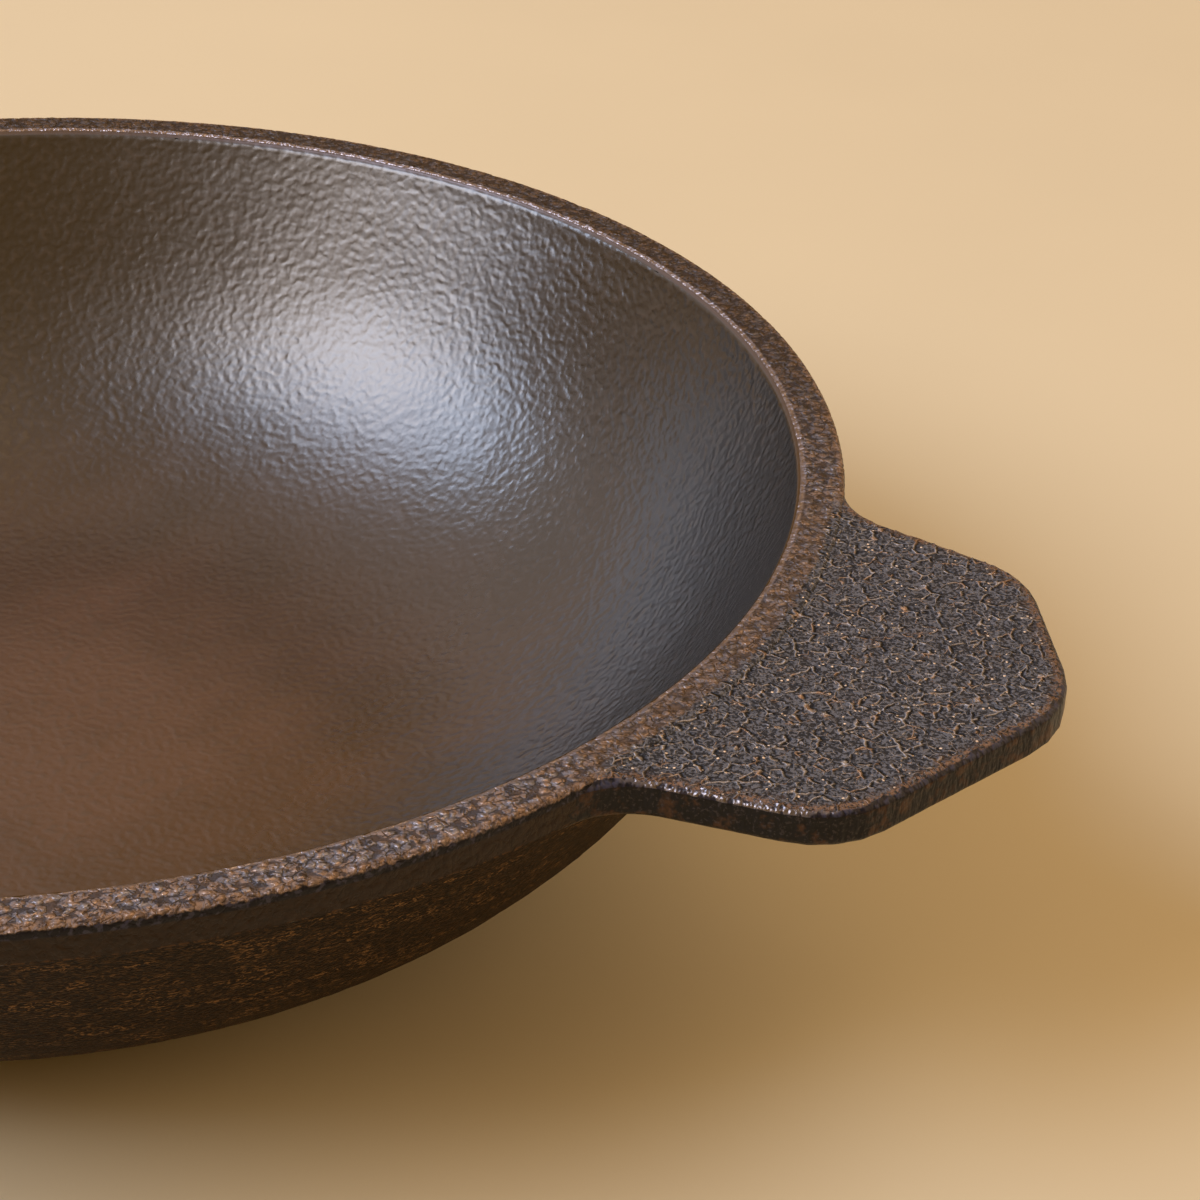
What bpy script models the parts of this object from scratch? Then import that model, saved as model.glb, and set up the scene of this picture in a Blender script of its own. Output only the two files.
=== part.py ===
"""Cast iron kadai: a round frying bowl with a flat rim and two flat handles.

The real pan is one casting. Here it is parted along its own feature lines into
the bowl, the rim band on top of it, the foot below it and a handle on each side.
The origin is the middle of the foot's underside, +Z is up and the handles lie
along X. All sizes are in metres.
"""

import math

import bmesh
import bpy
from mathutils import Vector

# Rim band
RIM_RADIUS = 0.130  # outer face of the band
RIM_FACE = 0.0069  # width of the flat top, its two edges included
BAND_HEIGHT = 0.0056  # upright outer face
BAND_EDGE_ROUND = 0.0010  # rounding of the band's outer edges
LIP_ROUND = 0.0006  # rounding of the edge where rim and inside meet

# Bowl, whose flat middle turns through one round curve into a straight wall
BOWL_DEPTH = 0.0616  # from the rim's top to the bowl's underside
BASE_RADIUS = 0.0535  # flat middle, inside and outside
FLOOR_THICKNESS = 0.0048
WALL_STEP = 0.0016  # the wall starts this far inside the band's outer face
OUTER_SLOPE = math.radians(57)  # of the wall's outside, from the level
INNER_SLOPE = math.radians(63)  # steeper, so that the wall thickens towards the rim

# Foot
FOOT_RADIUS = 0.0530
FOOT_HEIGHT = 0.0018  # how far the foot stands out below the bowl
FOOT_EDGE_ROUND = 0.0005

# Handles, whose sides run straight from the rim to two corners and a blunt tip
HANDLE_DROP = 0.0003  # top of the handle below the top of the rim
HANDLE_THICKNESS = 0.0062
HANDLE_EDGE_ROUND = 0.0011
ROOT_HALF_WIDTH = 0.040  # where the sides' lines cross the rim's outer face
CORNER_HALF_WIDTH = 0.0362
CORNER_REACH = 0.0244  # from the rim's outer face to the corners
TIP_REACH = 0.0420  # from the rim's outer face to the tip before its rounding
TIP_SIDE = 0.0062  # the tip lies this far to the +Y side of the handle's middle
CORNER_ROUND = 0.015
TIP_ROUND = 0.0185
ROOT_FILLET = 0.012  # hollow curve between the handle's side and the rim

# Parting gap between two pieces that meet
GAP = 0.0003

# Smoothness
TURN_STEPS = 96
CURVE_STEPS = 12
EDGE_STEPS = 3
ROUND_STEPS = 8
ROOT_STEPS = 24
MERGE = 0.00001
SHARP_ANGLE = math.radians(40)

# Heights above the ground that follow from the sizes above
BOWL_UNDERSIDE = FOOT_HEIGHT
RIM_TOP = BOWL_UNDERSIDE + BOWL_DEPTH
BAND_UNDERSIDE = RIM_TOP - BAND_HEIGHT
BOWL_TOP = BAND_UNDERSIDE - GAP
FLOOR = BOWL_UNDERSIDE + FLOOR_THICKNESS
HANDLE_TOP = RIM_TOP - HANDLE_DROP
HANDLE_UNDERSIDE = HANDLE_TOP - HANDLE_THICKNESS

# In a section through the axis a point is Vector((radius, height))
LIP = Vector((RIM_RADIUS - RIM_FACE, RIM_TOP))
WALL_START = Vector((RIM_RADIUS - WALL_STEP, BOWL_TOP))


def clear_scene():
    """Remove whatever the scene holds."""
    for leftover in list(bpy.data.objects):
        bpy.data.objects.remove(leftover, do_unlink=True)


def iron(name, colour, roughness):
    """Seasoned cast iron, which looks like a dark non-metal with a soft gloss."""
    material = bpy.data.materials.new(name)
    material.use_nodes = True
    shader = material.node_tree.nodes["Principled BSDF"]
    shader.inputs["Base Color"].default_value = (*colour, 1.0)
    shader.inputs["Roughness"].default_value = roughness
    shader.inputs["Metallic"].default_value = 0.3
    return material


def polar(centre, radius, angle):
    """The point at an angle on a circle."""
    return centre + Vector((math.cos(angle), math.sin(angle))) * radius


def arc(centre, radius, start, end, steps):
    """Points along a circle from one angle to another, both ends included."""
    return [polar(centre, radius, start + (end - start) * i / steps) for i in range(steps + 1)]


def turned_arc(centre, start_point, end_point, steps):
    """Points along a circle from one of its points the short way to another."""
    start = start_point - centre
    end = end_point - centre
    turn = math.atan2(start.x * end.y - start.y * end.x, start.dot(end))
    begin = math.atan2(start.y, start.x)
    return arc(centre, start.length, begin, begin + turn, steps)


def rounded_corner(before, corner, after, radius, steps):
    """The arc that rounds a corner between two straight edges."""
    to_before = (before - corner).normalized()
    to_after = (after - corner).normalized()
    half = to_before.angle(to_after) / 2
    centre = corner + (to_before + to_after).normalized() * (radius / math.sin(half))
    cut = radius / math.tan(half)
    return turned_arc(centre, corner + to_before * cut, corner + to_after * cut, steps)


def down_the_wall(top, slope, height):
    """The point at a height on the straight line that slopes inwards from the wall's top."""
    return Vector((top.x - (top.y - height) / math.tan(slope), height))


def bowl_curve(top, slope, height):
    """The round curve between the wall and a level face that is flat to BASE_RADIUS."""
    corner = down_the_wall(top, slope, height)
    radius = (corner.x - BASE_RADIUS) / math.tan(slope / 2)
    return rounded_corner(top, corner, Vector((0.0, height)), radius, CURVE_STEPS)


def add_piece(name, mesh, material):
    """Make a mesh a named object with its own material."""
    mesh.materials.append(material)
    piece = bpy.data.objects.new(name, mesh)
    bpy.context.scene.collection.objects.link(piece)
    return piece


def turn_profile(name, points, closed, material):
    """Turn a section about the axis; its outer side runs from top to bottom."""
    count = len(points)
    edges = [(i, i + 1) for i in range(count - 1)]
    if closed:
        edges.append((count - 1, 0))
    mesh = bpy.data.meshes.new(name)
    mesh.from_pydata([(p.x, 0.0, p.y) for p in points], edges, [])
    piece = add_piece(name, mesh, material)
    screw = piece.modifiers.new("turn", "SCREW")
    screw.axis = "Z"
    screw.angle = math.tau
    screw.steps = TURN_STEPS
    screw.render_steps = TURN_STEPS
    screw.use_smooth_shade = True
    screw.use_merge_vertices = True
    screw.merge_threshold = MERGE
    return piece


def make_bowl():
    """The vessel below the rim band: a flat middle, a round curve, a straight wall."""
    points = [Vector((0.0, FLOOR))]
    points += reversed(bowl_curve(LIP, INNER_SLOPE, FLOOR))
    points += [down_the_wall(LIP, INNER_SLOPE, BOWL_TOP), WALL_START]
    points += bowl_curve(WALL_START, OUTER_SLOPE, BOWL_UNDERSIDE)
    points.append(Vector((0.0, BOWL_UNDERSIDE)))
    return turn_profile("bowl", points, False, iron("bowl_iron", (0.055, 0.042, 0.034), 0.45))


def make_rim():
    """The band on top of the wall, with a flat top and an upright outer face."""
    inner_low = down_the_wall(LIP, INNER_SLOPE, BAND_UNDERSIDE)
    outer_high = Vector((RIM_RADIUS, RIM_TOP))
    outer_low = Vector((RIM_RADIUS, BAND_UNDERSIDE))
    points = rounded_corner(inner_low, LIP, outer_high, LIP_ROUND, EDGE_STEPS)
    points += rounded_corner(LIP, outer_high, outer_low, BAND_EDGE_ROUND, EDGE_STEPS)
    points += rounded_corner(outer_high, outer_low, inner_low, BAND_EDGE_ROUND, EDGE_STEPS)
    points.append(inner_low)
    return turn_profile("rim", points, True, iron("rim_iron", (0.13, 0.10, 0.08), 0.5))


def make_foot():
    """The low round pad that the pan stands on."""
    top = BOWL_UNDERSIDE - GAP
    shoulder = Vector((FOOT_RADIUS, top))
    heel = Vector((FOOT_RADIUS, 0.0))
    middle = Vector((0.0, 0.0))
    points = [Vector((0.0, top)), shoulder]
    points += rounded_corner(shoulder, heel, middle, FOOT_EDGE_ROUND, EDGE_STEPS)
    points.append(middle)
    return turn_profile("foot", points, False, iron("foot_iron", (0.05, 0.038, 0.03), 0.55))


def crossing(first, first_way, second, second_way):
    """Where two straight lines cross."""
    across = second - first
    share = across.cross(second_way) / first_way.cross(second_way)
    return first + first_way * share


def handle_root(side, start, corner, inset):
    """The hollow curve from the rim's face to the handle's side, and where it ends."""
    way = (corner - start).normalized()
    outward = Vector((-way.y, way.x)) * side
    beside = start + outward * ROOT_FILLET
    reach = RIM_RADIUS + ROOT_FILLET
    along = -beside.dot(way)
    along += math.sqrt(along**2 - beside.dot(beside) + reach**2)
    centre = beside + way * along
    radius = ROOT_FILLET + inset
    face = RIM_RADIUS + GAP
    opening = math.acos((reach**2 + radius**2 - face**2) / (2 * reach * radius))
    to_axis = math.atan2(-centre.y, -centre.x)
    on_face = polar(centre, radius, to_axis + side * opening)
    return turned_arc(centre, on_face, centre - outward * radius, ROUND_STEPS)


def handle_outline(inset):
    """The handle seen from above, drawn in by inset except at the rim's face."""
    corner_x = RIM_RADIUS + CORNER_REACH
    outline = [
        Vector((RIM_RADIUS, -ROOT_HALF_WIDTH)),
        Vector((corner_x, -CORNER_HALF_WIDTH)),
        Vector((RIM_RADIUS + TIP_REACH, TIP_SIDE)),
        Vector((corner_x, CORNER_HALF_WIDTH)),
        Vector((RIM_RADIUS, ROOT_HALF_WIDTH)),
    ]
    ways = [(b - a).normalized() for a, b in zip(outline, outline[1:])]
    starts = [a + Vector((-way.y, way.x)) * inset for a, way in zip(outline, ways)]
    corners = [crossing(starts[i], ways[i], starts[i + 1], ways[i + 1]) for i in range(3)]
    near = handle_root(-1, outline[0], outline[1], inset)
    far = handle_root(1, outline[4], outline[3], inset)
    chain = [near[-1], *corners, far[-1]]
    rounds = [CORNER_ROUND, TIP_ROUND, CORNER_ROUND]
    points = list(near)
    for i, radius in enumerate(rounds):
        points += rounded_corner(chain[i], chain[i + 1], chain[i + 2], radius - inset, ROUND_STEPS)
    points += reversed(far)
    face = turned_arc(Vector((0.0, 0.0)), far[0], near[0], ROOT_STEPS)
    return points + face[1:-1]


def handle_levels():
    """Heights of the handle's outlines, from the top down, and how far each is drawn in."""
    r = HANDLE_EDGE_ROUND
    turns = [math.pi / 2 * i / EDGE_STEPS for i in range(EDGE_STEPS + 1)]
    upper = [(HANDLE_TOP - r + r * math.cos(t), r - r * math.sin(t)) for t in turns]
    lower = [(HANDLE_UNDERSIDE + r - r * math.sin(t), r - r * math.cos(t)) for t in turns]
    return upper + lower


def make_handle(name, side):
    """A flat plate cast onto the rim; side is 1 for the +X handle and -1 for the other."""
    shape = bmesh.new()
    rings = []
    for height, inset in handle_levels():
        rings.append([shape.verts.new((side * p.x, p.y, height)) for p in handle_outline(inset)])
    count = len(rings[0])
    shape.faces.new(rings[0])
    shape.faces.new(reversed(rings[-1]))
    for upper, lower in zip(rings, rings[1:]):
        for i in range(count):
            j = (i + 1) % count
            shape.faces.new((lower[i], lower[j], upper[j], upper[i]))
    if side < 0:
        bmesh.ops.reverse_faces(shape, faces=shape.faces[:])
    mesh = bpy.data.meshes.new(name)
    shape.to_mesh(mesh)
    shape.free()
    mesh.shade_smooth()
    mesh.set_sharp_from_angle(angle=SHARP_ANGLE)
    return add_piece(name, mesh, iron(name + "_iron", (0.06, 0.052, 0.047), 0.5))


clear_scene()
make_bowl()
make_rim()
make_foot()
make_handle("handle_right", 1)
make_handle("handle_left", -1)
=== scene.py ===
# %% [markdown]
# # A cast iron kadai
#
# The object is a round frying bowl for the stove, cast in iron in a single pour: a bowl, a flat rim
# round its mouth, a low foot and a plate handle on each side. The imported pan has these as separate
# solids with thin gaps between them. This lesson gives each one a cast skin: its own mesh with
# pits, wrinkles and worn edges, a finish made of nodes, and a small studio to stand in. Lengths are
# in metres throughout, and +Z is up.

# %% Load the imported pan
import math

import bpy
import numpy as np
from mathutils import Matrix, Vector


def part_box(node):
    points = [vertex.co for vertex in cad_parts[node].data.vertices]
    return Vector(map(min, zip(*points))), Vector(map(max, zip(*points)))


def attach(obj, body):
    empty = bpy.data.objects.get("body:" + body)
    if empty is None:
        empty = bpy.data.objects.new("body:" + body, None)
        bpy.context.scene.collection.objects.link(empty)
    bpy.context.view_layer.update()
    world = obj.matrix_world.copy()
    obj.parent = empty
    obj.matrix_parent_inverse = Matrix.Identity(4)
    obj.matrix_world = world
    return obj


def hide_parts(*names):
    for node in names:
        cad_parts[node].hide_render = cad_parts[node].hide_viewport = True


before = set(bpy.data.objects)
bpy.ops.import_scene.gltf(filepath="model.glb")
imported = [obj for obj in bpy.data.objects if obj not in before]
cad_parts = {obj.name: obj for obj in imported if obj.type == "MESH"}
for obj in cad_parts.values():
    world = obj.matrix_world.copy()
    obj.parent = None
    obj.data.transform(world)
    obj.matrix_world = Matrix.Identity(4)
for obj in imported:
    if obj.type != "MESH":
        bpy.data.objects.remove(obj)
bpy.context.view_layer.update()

# %% [markdown]
# ## Sizes
#
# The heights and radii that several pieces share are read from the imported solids, so that the new
# pieces lie exactly where the old ones do. The slopes and roundings can't be read from a box, so
# they are written here.

# %% Sizes that the pieces share
MM = 0.001
rim_low, rim_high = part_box("rim")
foot_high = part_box("foot")[1]
handle_low, handle_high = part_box("handle_right")
RIM_RADIUS = rim_high.x
RIM_TOP = rim_high.z
BAND_UNDERSIDE = rim_low.z
BOWL_UNDERSIDE = foot_high.z
FOOT_RADIUS = foot_high.x
HANDLE_TOP = handle_high.z
HANDLE_UNDERSIDE = handle_low.z
RIM_FACE = 6.9 * MM
LIP_RADIUS = RIM_RADIUS - RIM_FACE
LIP_ROUND = 0.6 * MM
INNER_SLOPE = math.radians(63)
OUTER_SLOPE = math.radians(57)
BASE_RADIUS = 53.5 * MM
FLOOR_THICKNESS = 4.8 * MM
FLOOR_HEIGHT = BOWL_UNDERSIDE + FLOOR_THICKNESS
print("rim radius", round(RIM_RADIUS, 4), "rim top", round(RIM_TOP, 4))
print("handle top", round(HANDLE_TOP, 4), "floor", round(FLOOR_HEIGHT, 4))

# %% [markdown]
# ## The camera
#
# A photograph's camera can be found again from ellipses: a round rim seen at an angle is one, and
# its shape and place fix the camera's height, distance, tilt and lens. The rim's two edges and the
# handle's outline were fitted in that way. The numbers below are the result.

# %% Camera
CAMERA_PLACE = (0.25358, -0.33112, 0.27796)
CAMERA_TURN = (59.2708, -2.1294, 25.8477)
CAMERA_LENS = 88.477
SENSOR_WIDTH = 36
camera_turn = [math.radians(turn) for turn in CAMERA_TURN]
bpy.ops.object.camera_add(location=CAMERA_PLACE, rotation=camera_turn)
camera = bpy.context.object
camera.name = "camera"
camera.data.lens = CAMERA_LENS
camera.data.sensor_width = SENSOR_WIDTH
bpy.context.scene.camera = camera
print("camera", round(camera.location.length, 3), "m from the foot's middle")

# %% [markdown]
# ## Sums of nodes
#
# A finish is mostly arithmetic on patterns: a pit is a cloud pattern past some value, wear is a
# mask times another. Drawn as nodes that is hard to read, so this small class wraps one socket of a
# node tree. Plus, minus, times and the other signs then add Math nodes, and `node` adds any other
# kind. It works in a material's tree and in a Geometry Nodes tree alike, so that one formula can
# shape the mesh and colour it too.

# %% A class that wraps a socket
class Wire:
    """One socket of a node tree, which can be written into a sum."""

    def __init__(self, tree, socket=None):
        self.tree = tree
        self.socket = socket

    def node(self, kind, settings=None, values=None, take=0):
        """Adds a node, makes its settings, then fills its sockets with values or wires."""
        made = self.tree.nodes.new(kind)
        for name, setting in (settings or {}).items():
            setattr(made, name, setting)
        for name, value in (values or {}).items():
            if isinstance(value, Wire):
                self.tree.links.new(value.socket, made.inputs[name])
            else:
                made.inputs[name].default_value = value
        return Wire(self.tree, made.outputs[take])

    def math(self, operation, *others):
        numbers = dict(enumerate((self,) + others))
        return self.node("ShaderNodeMath", {"operation": operation}, numbers)

    def __add__(self, other):
        return self.math("ADD", other)

    def __mul__(self, other):
        return self.math("MULTIPLY", other)

    def __sub__(self, other):
        return self.math("SUBTRACT", other)

    def __rsub__(self, other):
        return self.math("MULTIPLY_ADD", -1.0, other)

    def __truediv__(self, other):
        return self.math("DIVIDE", other)

    def __pow__(self, other):
        return self.math("POWER", other)

    def __abs__(self):
        return self.math("ABSOLUTE")

    __radd__ = __add__
    __rmul__ = __mul__

    def over(self, low, high):
        """0 below the first value, 1 above the second, smooth between. Either may be larger."""
        limits = {"Value": self, "From Min": min(low, high), "From Max": max(low, high)}
        if low > high:
            limits.update({"To Min": 1.0, "To Max": 0.0})
        return self.node("ShaderNodeMapRange", {"interpolation_type": "SMOOTHSTEP"}, limits)

    def part(self, axis):
        values = {"Vector": self}
        return self.node("ShaderNodeSeparateXYZ", values=values, take="XYZ".index(axis))

    def stretched(self, level, upright):
        """A place scaled apart, which makes a pattern that reads it so much wider and taller."""
        factors = (1 / level, 1 / level, 1 / upright)
        return self.node("ShaderNodeVectorMath", {"operation": "MULTIPLY"}, {0: self, 1: factors})

    def moved(self, step):
        """A place moved by a vector, or by a wire that moves it along all three axes at once."""
        return self.node("ShaderNodeVectorMath", {"operation": "ADD"}, {0: self, 1: step})

    def clouds(self, size, detail=2.0, roughness=0.5, distortion=0.0):
        """Noise from 0 to 1 about a place, with patches of about that size in metres."""
        values = {"Vector": self, "Scale": 1 / size, "Detail": detail, "Roughness": roughness}
        return self.node("ShaderNodeTexNoise", values={**values, "Distortion": distortion})

    def strokes(self, size, breadth):
        """Thin worm-like lines: the places where a cloud pattern passes through its middle."""
        off_line = abs(self.clouds(size, 1.0, 0.45, 0.6) * 2 - 1)
        return off_line.over(breadth, 0.0)

    def seams(self, size, width):
        """Curved lines of even width on a level face: the borders between grains."""
        bend = size * 0.8
        bent = self.moved(self.clouds(bend, 1.0) * bend)
        settings = {"feature": "DISTANCE_TO_EDGE", "voronoi_dimensions": "2D"}
        values = {"Vector": bent, "Scale": 1 / size}
        return self.node("ShaderNodeTexVoronoi", settings, values).over(width / size, 0.0)

    def grains(self, size):
        """The distance to the nearest grain's middle, from 0 to about 1."""
        values = {"Vector": self, "Scale": 1 / size}
        return self.node("ShaderNodeTexVoronoi", {"feature": "F1"}, values)


named_methods = [name for name in dir(Wire) if not name.startswith("__")]
print("a Wire has", len(named_methods), "named methods:", named_methods)

# %% [markdown]
# ## Colours
#
# A Math node turns a colour grey, so colours are blended by a Mix node. The factor says how much of
# the second colour shows. Either colour may be fixed or come from another blend. A Mix node has a
# set of sockets for each kind of value, and the numbers below are those for colours.

# %% Blending colours
MIX_FACTOR, MIX_UNDER, MIX_OVER, MIX_RESULT = 0, 6, 7, 2


def blended(share, under, over):
    """The colour under where share is 0, and the colour over where it is 1."""
    values = {MIX_FACTOR: share}
    for socket, colour in ((MIX_UNDER, under), (MIX_OVER, over)):
        values[socket] = colour if isinstance(colour, Wire) else (*colour, 1.0)
    return share.node("ShaderNodeMix", {"data_type": "RGBA"}, values, take=MIX_RESULT)


def new_finish(name, specular, ior=1.5):
    """A material, its shader, and a wire with the places on the object."""
    material = bpy.data.materials.new(name)
    material.use_nodes = True
    tree = material.node_tree
    shader = tree.nodes["Principled BSDF"]
    shader.inputs["Specular IOR Level"].default_value = specular
    shader.inputs["IOR"].default_value = ior
    place = Wire(tree).node("ShaderNodeTexCoord", take="Object")
    return material, shader, place


def lay_on(shader, colour, roughness, height=None, bare=None):
    """Joins a finish's colour, roughness, height in millimetres and share of bare iron to it."""
    tree = colour.tree
    tree.links.new(colour.socket, shader.inputs["Base Color"])
    tree.links.new(roughness.socket, shader.inputs["Roughness"])
    if height is not None:
        bump = height.node("ShaderNodeBump", values={"Height": height, "Distance": MM})
        tree.links.new(bump.socket, shader.inputs["Normal"])
    if bare is not None:
        tree.links.new(bare.socket, shader.inputs["Metallic"])


print("a Mix node blends colours from its sockets", MIX_UNDER, "and", MIX_OVER)

# %% [markdown]
# ## The floor
#
# The photograph was taken on a sheet of warm tan paper that lies flat and runs on out of the
# picture. A large plane does for it. It is far wider than the picture, because the pan's underside
# and wall are lit by what it throws back.

# %% Floor
PAPER_WIDTH = 9.0
PAPER_COLOUR = (0.775, 0.715, 0.525)
PAPER_MOTTLE = 0.03  # how far the colour strays either way
bpy.ops.object.select_all(action="DESELECT")
bpy.ops.mesh.primitive_plane_add(size=PAPER_WIDTH)
paper = bpy.context.object
paper.name = "paper_floor"

paper_finish, shader, place = new_finish("tan_paper", 0.2)
mottle = place.clouds(0.09, 3.0)
darker, lighter = [
    [shade * part for part in PAPER_COLOUR] for shade in (1 - PAPER_MOTTLE, 1 + PAPER_MOTTLE)
]
lay_on(shader, blended(mottle, darker, lighter), mottle * 0.05 + 0.85)
paper.data.materials.append(paper_finish)
print("the paper reaches", PAPER_WIDTH / 2, "m from the pan")

# %% [markdown]
# ## The lamps
#
# The soft patch inside the bowl is the mirror image of a softbox. Where it lies, and the rule that
# light leaves a surface at the angle at which it came, give the softbox's direction: to the left of
# the camera and about 40 degrees up. It is two overlapping lamps, a warm one and a cool one, as
# where daylight joins a lamp. The room adds a little warm light from all sides, and more from two
# broad bright places, one to the right of the picture and one to its left, further back.

# %% Softboxes and room light
LAMP_DISTANCE = 3.0
ROOM_GLOW = (0.310, 0.155, 0.028)
# Heading and height of a bright place, how far it reaches, all in degrees, and its brightness.
BRIGHT_PLACES = (
    (38, 40, 50.0, (1.68, 1.17, 0.72)),
    (170, 39, 42.5, (0.60, 0.45, 0.35)),
)
FULL_FROM = 0.99  # the cosine of the angle from its middle at which it reaches full brightness


def direction(heading, height):
    """The way towards a heading and a height above the horizon, both in degrees."""
    turn = math.radians(heading)
    rise = math.radians(height)
    level = math.cos(rise)
    return Vector((level * math.cos(turn), level * math.sin(turn), math.sin(rise)))


def softbox(name, heading, height, breadth, tallness, colour, shape="RECTANGLE"):
    """A flat lamp that faces the pan, fills so many degrees of its sky, and is that bright."""
    towards = direction(heading, height)
    above_rim = Vector((0, 0, RIM_TOP))
    bpy.ops.object.light_add(type="AREA", location=towards * LAMP_DISTANCE + above_rim)
    lamp = bpy.context.object
    lamp.name = name
    lamp.rotation_euler = towards.to_track_quat("Z", "Y").to_euler()
    lamp.data.shape = shape
    lamp.data.size = 2 * LAMP_DISTANCE * math.tan(math.radians(breadth / 2))
    lamp.data.size_y = 2 * LAMP_DISTANCE * math.tan(math.radians(tallness / 2))
    area = lamp.data.size * lamp.data.size_y * (math.pi / 4 if shape == "ELLIPSE" else 1.0)
    lamp.data.energy = max(colour) * math.pi * area
    lamp.data.color = [part / max(colour) for part in colour]
    return lamp


softbox(
    "main_softbox",
    heading=-125.4,
    height=39.5,
    breadth=30.8,
    tallness=28.8,
    colour=(3.60, 2.85, 2.20),
)
softbox(
    "cool_softbox",
    heading=-140.5,
    height=43.5,
    breadth=44.0,
    tallness=38.0,
    colour=(2.70, 3.40, 4.65),
    shape="ELLIPSE",
)
room = bpy.context.scene.world or bpy.data.worlds.new("room")
bpy.context.scene.world = room
room.use_nodes = True
look = Wire(room.node_tree).node("ShaderNodeTexCoord")
glow = ROOM_GLOW
for heading, height, reach, brightness in BRIGHT_PLACES:
    along = {0: look, 1: direction(heading, height)}
    facing = look.node("ShaderNodeVectorMath", {"operation": "DOT_PRODUCT"}, along, take="Value")
    lit = facing.over(math.cos(math.radians(reach)), FULL_FROM)
    glow = blended(lit, glow, brightness)
room.node_tree.links.new(glow.socket, room.node_tree.nodes["Background"].inputs["Color"])
bpy.context.scene.view_settings.view_transform = "Standard"

# %% [markdown]
# ## Drawing a section
#
# The bowl, the rim and the foot are round, so each is drawn as half a section and spun about the Z
# axis, as the foundry's pattern was turned on a lathe. A section is a row of corners, each with a
# rounding. These helpers round the corners and set points along the row, close enough together for
# the pits to have room.

# %% Helpers for sections
ARC_STEP = math.radians(15)
LEAST_ARC_STEPS = 4


def arc(centre, start, end, radius, steps=None):
    """Points round a centre, from the direction start to the direction end by the short way."""
    turn = math.atan2(start.x * end.y - start.y * end.x, start.dot(end))
    steps = steps or max(LEAST_ARC_STEPS, round(abs(turn) / ARC_STEP))
    points = []
    for i in range(steps + 1):
        angle = math.atan2(start.y, start.x) + turn * i / steps
        points.append(centre + Vector((math.cos(angle), math.sin(angle))) * radius)
    return points


def rounded(before, corner, after, radius):
    """The points of the arc that rounds a corner."""
    to_before = (before - corner).normalized()
    to_after = (after - corner).normalized()
    half = to_before.angle(to_after) / 2
    cut = radius / math.tan(half)
    centre = corner + (to_before + to_after).normalized() * (radius / math.sin(half))
    start = corner + to_before * cut - centre
    end = corner + to_after * cut - centre
    return arc(centre, start, end, radius)


def rounded_row(corners):
    """The points of a row of corners (x, y, rounding)."""
    spots = [Vector(corner[:2]) for corner in corners]
    row = []
    for i, (spot, corner) in enumerate(zip(spots, corners)):
        if corner[2] > 0:
            row += rounded(spots[i - 1], spot, spots[(i + 1) % len(spots)], corner[2])
        else:
            row.append(spot)
    return row


def spaced(row, step):
    """The same row with points added, none further apart than step, a length or a function."""
    points = [row[0]]
    for here, there in zip(row, row[1:]):
        gap = step(here) if callable(step) else step
        count = max(1, math.ceil((there - here).length / gap))
        points += [here.lerp(there, i / count) for i in range(1, count + 1)]
    return points


square = rounded_row([(0, 0, 0), (1, 0, 0.2), (1, 1, 0)])
print("two lines with a rounded corner:", len(square), "points")

# %% [markdown]
# A row of points becomes a wire in edit mode: a tiny plane is added at the first point, merged to
# one vertex, and that vertex is extruded on from point to point. Turning the wire round gives the
# solid. Edit mode's spin would do that, but it slows down over a thousand steps and more, so a
# Screw modifier with no rise turns the wire instead. Its last copy lies on its first, and a point
# on the axis becomes a ring in one spot, so doubles are merged.

# %% Helpers that draw a wire and turn it
SAME_SPOT = 0.005 * MM


def choose(piece):
    """Makes a piece the only selected one and the active one."""
    bpy.ops.object.select_all(action="DESELECT")
    piece.select_set(True)
    bpy.context.view_layer.objects.active = piece


def draw_wire(name, points):
    """A wire through the points, as a new object."""
    bpy.ops.object.select_all(action="DESELECT")
    bpy.ops.mesh.primitive_plane_add(size=MM, location=points[0])
    piece = bpy.context.object
    piece.name = name
    bpy.ops.object.transform_apply()
    bpy.ops.object.mode_set(mode="EDIT")
    bpy.context.tool_settings.mesh_select_mode = (True, False, False)
    bpy.ops.mesh.merge(type="CENTER")
    for here, there in zip(points, points[1:]):
        bpy.ops.mesh.extrude_vertices_move(TRANSFORM_OT_translate={"value": there - here})
    bpy.ops.object.mode_set(mode="OBJECT")
    return piece


def tidy_skin(piece):
    """Merges doubles and turns the faces outwards."""
    choose(piece)
    bpy.ops.object.mode_set(mode="EDIT")
    bpy.ops.mesh.select_all(action="SELECT")
    bpy.ops.mesh.remove_doubles(threshold=SAME_SPOT)
    bpy.ops.mesh.normals_make_consistent(inside=False)
    bpy.ops.object.mode_set(mode="OBJECT")
    bpy.ops.object.shade_smooth()


def turned_section(name, row, turns):
    """The solid that a section (radius, height) sweeps out round the Z axis in so many steps."""
    piece = draw_wire(name, [Vector((spot.x, 0, spot.y)) for spot in row])
    lathe = piece.modifiers.new("lathe", "SCREW")
    lathe.steps = turns
    lathe.render_steps = turns
    bpy.ops.object.modifier_apply(modifier=lathe.name)
    tidy_skin(piece)
    return piece


def triangles(piece):
    return sum(len(face.vertices) - 2 for face in piece.data.polygons)


print("points closer than", SAME_SPOT, "m are merged")

# %% [markdown]
# ## The cast skin as geometry
#
# Sand leaves its own skin on iron: no face is quite even, and fine pits and wrinkles cover it. The
# larger of these are real geometry. A Geometry Nodes modifier moves each point inwards along its
# normal by a depth that a formula gives for its place. The depth is never below zero, so nothing
# grows past the pan's true size. It is kept as an attribute, so that it can be measured.

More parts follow.
